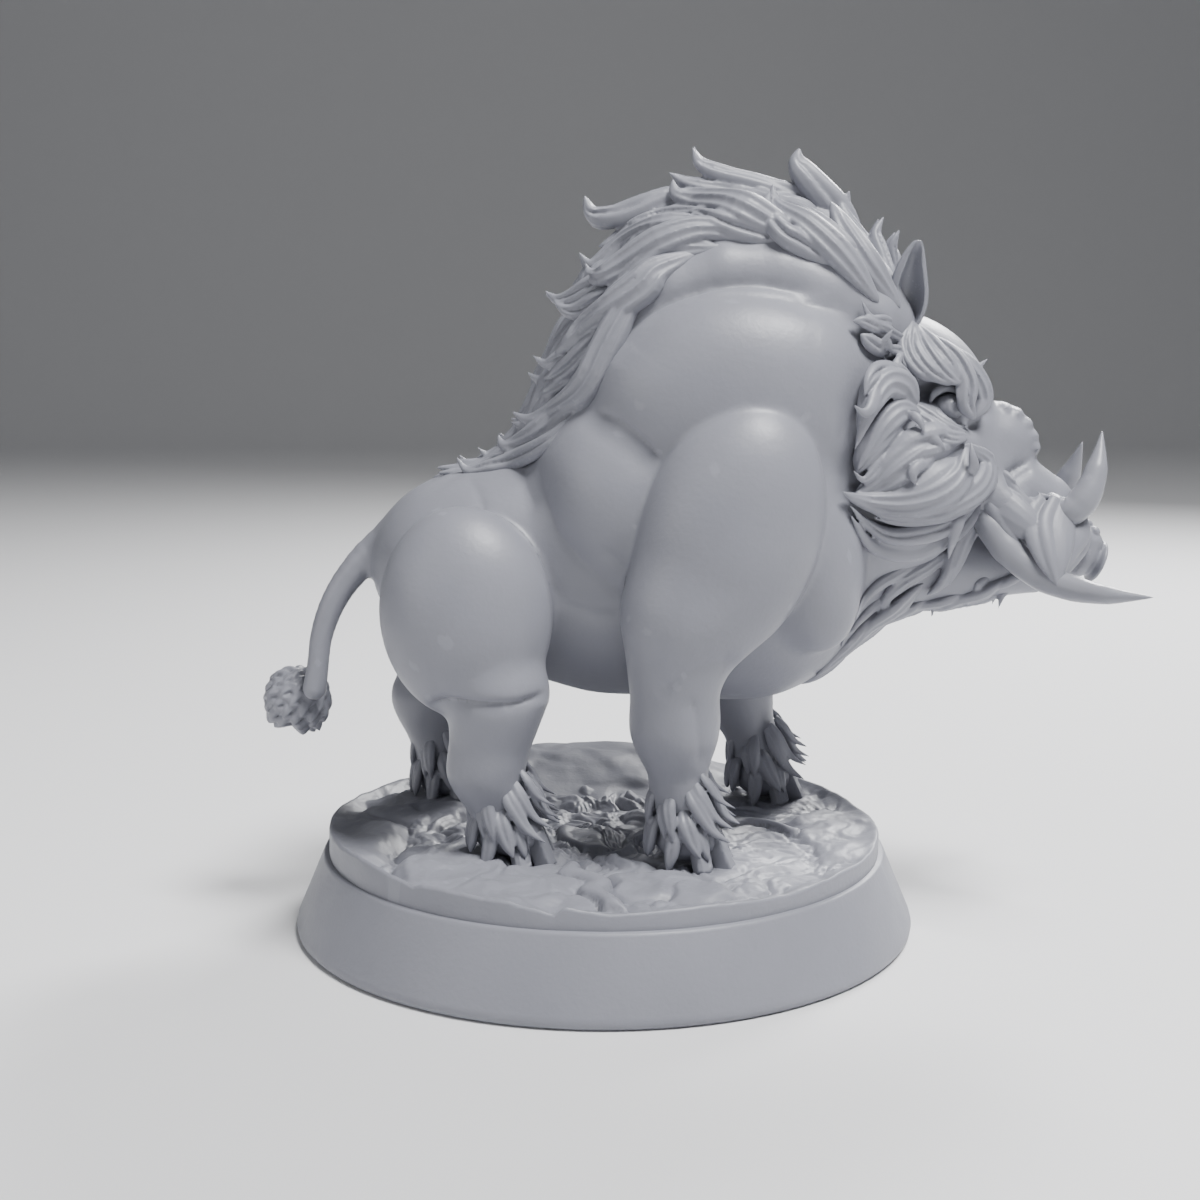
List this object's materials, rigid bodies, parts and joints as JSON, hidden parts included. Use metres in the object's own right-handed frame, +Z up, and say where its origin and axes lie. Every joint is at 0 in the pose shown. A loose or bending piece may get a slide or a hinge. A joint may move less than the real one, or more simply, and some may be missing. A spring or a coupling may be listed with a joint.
{
  "type": "wild boar figurine",
  "caption": "Unpainted grey resin tabletop figurine of a giant wild boar with a spiky mane, curved tusks and tufted feet, standing on a round bevelled base of trodden earth.",
  "frame": {"origin": "centre of the base's underside, on the surface it stands on", "axes": "+Z up, +X the way the boar faces, +Y towards the boar's left side"},
  "size_m": [0.0689, 0.05, 0.0619],
  "materials": {
    "resin_skin": "satin, smooth sculpted skin of unpainted grey resin",
    "resin_hair": "satin, sculpted locks of unpainted grey resin",
    "resin_ivory": "satin, smooth tusks and hooves of unpainted grey resin",
    "resin_eye": "satin, smooth unpainted grey resin",
    "resin_base": "satin, unpainted grey resin with a smooth rim and rough ground"
  },
  "bodies": {
    "root": {"base_rim": "resin_base", "base_ground": "resin_base", "trunk": "resin_skin", "neck": "resin_skin", "head": "resin_skin", "jaw": "resin_skin", "snout_disc": "resin_skin", "tail": "resin_skin", "foreleg_right": "resin_skin", "foreleg_left": "resin_skin", "hindleg_right": "resin_skin", "hindleg_left": "resin_skin", "ear_right": "resin_skin", "ear_left": "resin_skin", "lip_right": "resin_hair", "lip_left": "resin_hair", "brow_right": "resin_hair", "brow_left": "resin_hair", "cheek_right": "resin_hair", "cheek_left": "resin_hair", "jowl_right": "resin_hair", "jowl_left": "resin_hair", "beard": "resin_hair", "mane_nape": "resin_hair", "mane_hump": "resin_hair", "mane_back": "resin_hair", "tail_tuft": "resin_hair", "feather_fore_right": "resin_hair", "feather_fore_left": "resin_hair", "feather_hind_right": "resin_hair", "feather_hind_left": "resin_hair", "hoof_fore_right": "resin_ivory", "hoof_fore_left": "resin_ivory", "hoof_hind_right": "resin_ivory", "hoof_hind_left": "resin_ivory", "tusk_lower_right": "resin_ivory", "tusk_lower_left": "resin_ivory", "tusk_upper_right": "resin_ivory", "tusk_upper_left": "resin_ivory", "eye_right": "resin_eye", "eye_left": "resin_eye"}
  },
  "joints": []
}
